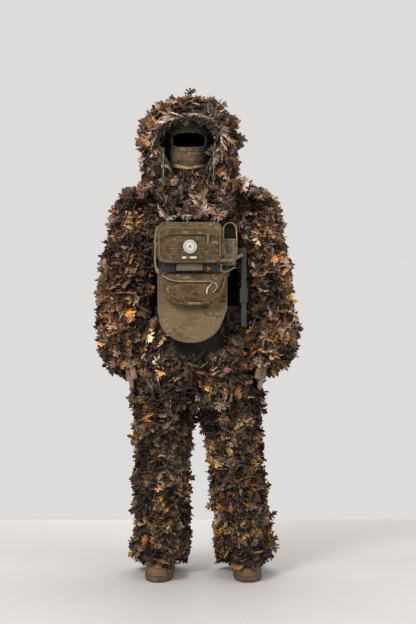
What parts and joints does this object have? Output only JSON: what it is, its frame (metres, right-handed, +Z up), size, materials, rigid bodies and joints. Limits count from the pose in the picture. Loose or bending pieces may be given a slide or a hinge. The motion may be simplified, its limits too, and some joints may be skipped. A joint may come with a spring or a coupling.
{
  "type": "ghillie suit",
  "caption": "Leaf-covered hooded camouflage suit in worn shape, with shoulder cape, open jacket, trousers, balaclava, gloves, boots and a front load carrier.",
  "frame": {"origin": "on the floor, under the middle of the worn suit's outer box", "axes": "+Z up, the suit's front towards -Y, +X to the right as seen from the front"},
  "size_m": [0.767, 0.4798, 1.8494],
  "materials": {
    "cover_cloth": "matt mesh backing cloth",
    "leaf_cloth": "matt printed leaf cloth",
    "lining_camo": "matt printed camouflage cotton",
    "pouch_camo": "matt printed camouflage nylon",
    "apron_camo": "matt printed camouflage nylon",
    "black_webbing": "matt woven webbing",
    "grey_webbing": "matt woven webbing",
    "tan_elastic": "matt woven elastic",
    "green_cord": "matt braided cord",
    "black_plastic": "satin moulded plastic",
    "badge_face": "matt moulded rubber",
    "name_tape": "matt woven tape",
    "suede": "napped suede",
    "sole_rubber": "matt moulded rubber"
  },
  "bodies": {
    "torso": {"jacket_body": "cover_cloth", "shoulder_cape": "cover_cloth", "front_edge_binding": "lining_camo", "trouser_seat": "cover_cloth", "waistband": "black_webbing", "balaclava": "lining_camo", "cap": "lining_camo", "chin_strap": "tan_elastic", "carrier_front": "black_webbing", "carrier_back": "black_webbing", "shoulder_straps": "black_webbing", "cummerbund": "black_webbing", "magazine_pouches": "black_webbing", "main_pouch_body": "pouch_camo", "bottom_straps": "black_webbing", "radio_pouch": "pouch_camo", "retention_bungee": "tan_elastic", "side_strap": "grey_webbing", "leaves_torso": "leaf_cloth"},
    "hood": {"hood_shell": "cover_cloth", "hood_rim": "lining_camo", "hem_eyelets": "black_plastic", "hood_cord_left": "green_cord", "hood_cord_right": "green_cord", "leaves_hood": "leaf_cloth"},
    "cord_lock_left": {"cord_lock_left": "black_plastic"},
    "cord_lock_right": {"cord_lock_right": "black_plastic"},
    "upper_sleeve_left": {"sleeve_upper_left": "cover_cloth", "leaves_upper_arm_left": "leaf_cloth"},
    "upper_sleeve_right": {"sleeve_upper_right": "cover_cloth", "leaves_upper_arm_right": "leaf_cloth"},
    "lower_sleeve_left": {"sleeve_lower_left": "cover_cloth", "sleeve_cuff_left": "lining_camo", "glove_left": "suede", "leaves_forearm_left": "leaf_cloth"},
    "lower_sleeve_right": {"sleeve_lower_right": "cover_cloth", "sleeve_cuff_right": "lining_camo", "glove_right": "suede", "leaves_forearm_right": "leaf_cloth"},
    "thigh_left": {"thigh_left": "cover_cloth"},
    "thigh_right": {"thigh_right": "cover_cloth"},
    "lower_leg_left": {"shin_left": "cover_cloth", "ankle_cuff_left": "lining_camo", "boot_upper_left": "suede", "boot_sole_left": "sole_rubber", "leaves_shin_left": "leaf_cloth"},
    "lower_leg_right": {"shin_right": "cover_cloth", "ankle_cuff_right": "lining_camo", "boot_upper_right": "suede", "boot_sole_right": "sole_rubber", "leaves_shin_right": "leaf_cloth"},
    "pouch_lid": {"main_pouch_lid": "pouch_camo", "lid_pocket": "pouch_camo", "round_badge": "badge_face", "name_tape": "name_tape"},
    "lid_slider": {"lid_zip_slider": "tan_elastic"},
    "apron": {"apron_flap": "apron_camo"},
    "lower_pouch": {"lower_pouch": "pouch_camo"},
    "lower_slider": {"lower_zip_slider": "black_plastic"},
    "side_buckle": {"side_buckle": "grey_webbing"}
  },
  "joints": [
    {"name": "hood_fold", "type": "hinge", "parent": "torso", "child": "hood", "pos_m": [-0.027, 0.1771, 1.54], "axis": [1, 0, 0], "range_deg": [-80, 0]},
    {"name": "shoulder_left", "type": "hinge", "parent": "torso", "child": "upper_sleeve_left", "pos_m": [-0.23, 0.0191, 1.375], "axis": [1, 0, 0], "range_deg": [-90, 35]},
    {"name": "shoulder_right", "type": "hinge", "parent": "torso", "child": "upper_sleeve_right", "pos_m": [0.23, 0.0191, 1.375], "axis": [1, 0, 0], "range_deg": [-90, 35]},
    {"name": "elbow_left", "type": "hinge", "parent": "upper_sleeve_left", "child": "lower_sleeve_left", "pos_m": [-0.272, 0.0191, 1.1], "axis": [1, 0, 0], "range_deg": [-75, 0]},
    {"name": "elbow_right", "type": "hinge", "parent": "upper_sleeve_right", "child": "lower_sleeve_right", "pos_m": [0.272, 0.0191, 1.1], "axis": [1, 0, 0], "range_deg": [-75, 0]},
    {"name": "hip_left", "type": "hinge", "parent": "torso", "child": "thigh_left", "pos_m": [-0.12314, 0.0271, 0.62], "axis": [1, 0, 0], "range_deg": [-45, 20]},
    {"name": "hip_right", "type": "hinge", "parent": "torso", "child": "thigh_right", "pos_m": [0.1321, 0.0271, 0.62], "axis": [1, 0, 0], "range_deg": [-45, 20]},
    {"name": "knee_left", "type": "hinge", "parent": "thigh_left", "child": "lower_leg_left", "pos_m": [-0.12644, 0.0211, 0.47], "axis": [1, 0, 0], "range_deg": [0, 65]},
    {"name": "knee_right", "type": "hinge", "parent": "thigh_right", "child": "lower_leg_right", "pos_m": [0.1468, 0.0211, 0.47], "axis": [1, 0, 0], "range_deg": [0, 65]},
    {"name": "pouch_lid_hinge", "type": "hinge", "parent": "torso", "child": "pouch_lid", "pos_m": [-0.02, -0.2094, 1.181], "axis": [1, 0, 0], "range_deg": [0, 75]},
    {"name": "lid_zip", "type": "slide", "parent": "pouch_lid", "child": "lid_slider", "axis": [1, 0, 0], "range_m": [-0.13, 0.016]},
    {"name": "apron_swing", "type": "hinge", "parent": "torso", "child": "apron", "pos_m": [-0.012, -0.1769, 1.178], "axis": [1, 0, 0], "range_deg": [-25, 0]},
    {"name": "lower_pouch_swing", "type": "hinge", "parent": "apron", "child": "lower_pouch", "pos_m": [-0.012, -0.1769, 1.178], "axis": [1, 0, 0], "range_deg": [-20, 0]},
    {"name": "lower_zip", "type": "slide", "parent": "lower_pouch", "child": "lower_slider", "axis": [1, 0, 0], "range_m": [-0.15, 0.01]},
    {"name": "side_release", "type": "slide", "parent": "torso", "child": "side_buckle", "axis": [0, 0, -1], "range_m": [0, 0.06]},
    {"name": "cord_lock_left_slide", "type": "slide", "parent": "hood", "child": "cord_lock_left", "axis": [0, 0, 1], "range_m": [-0.01, 0.08]},
    {"name": "cord_lock_right_slide", "type": "slide", "parent": "hood", "child": "cord_lock_right", "axis": [0, 0, 1], "range_m": [-0.01, 0.08]}
  ]
}
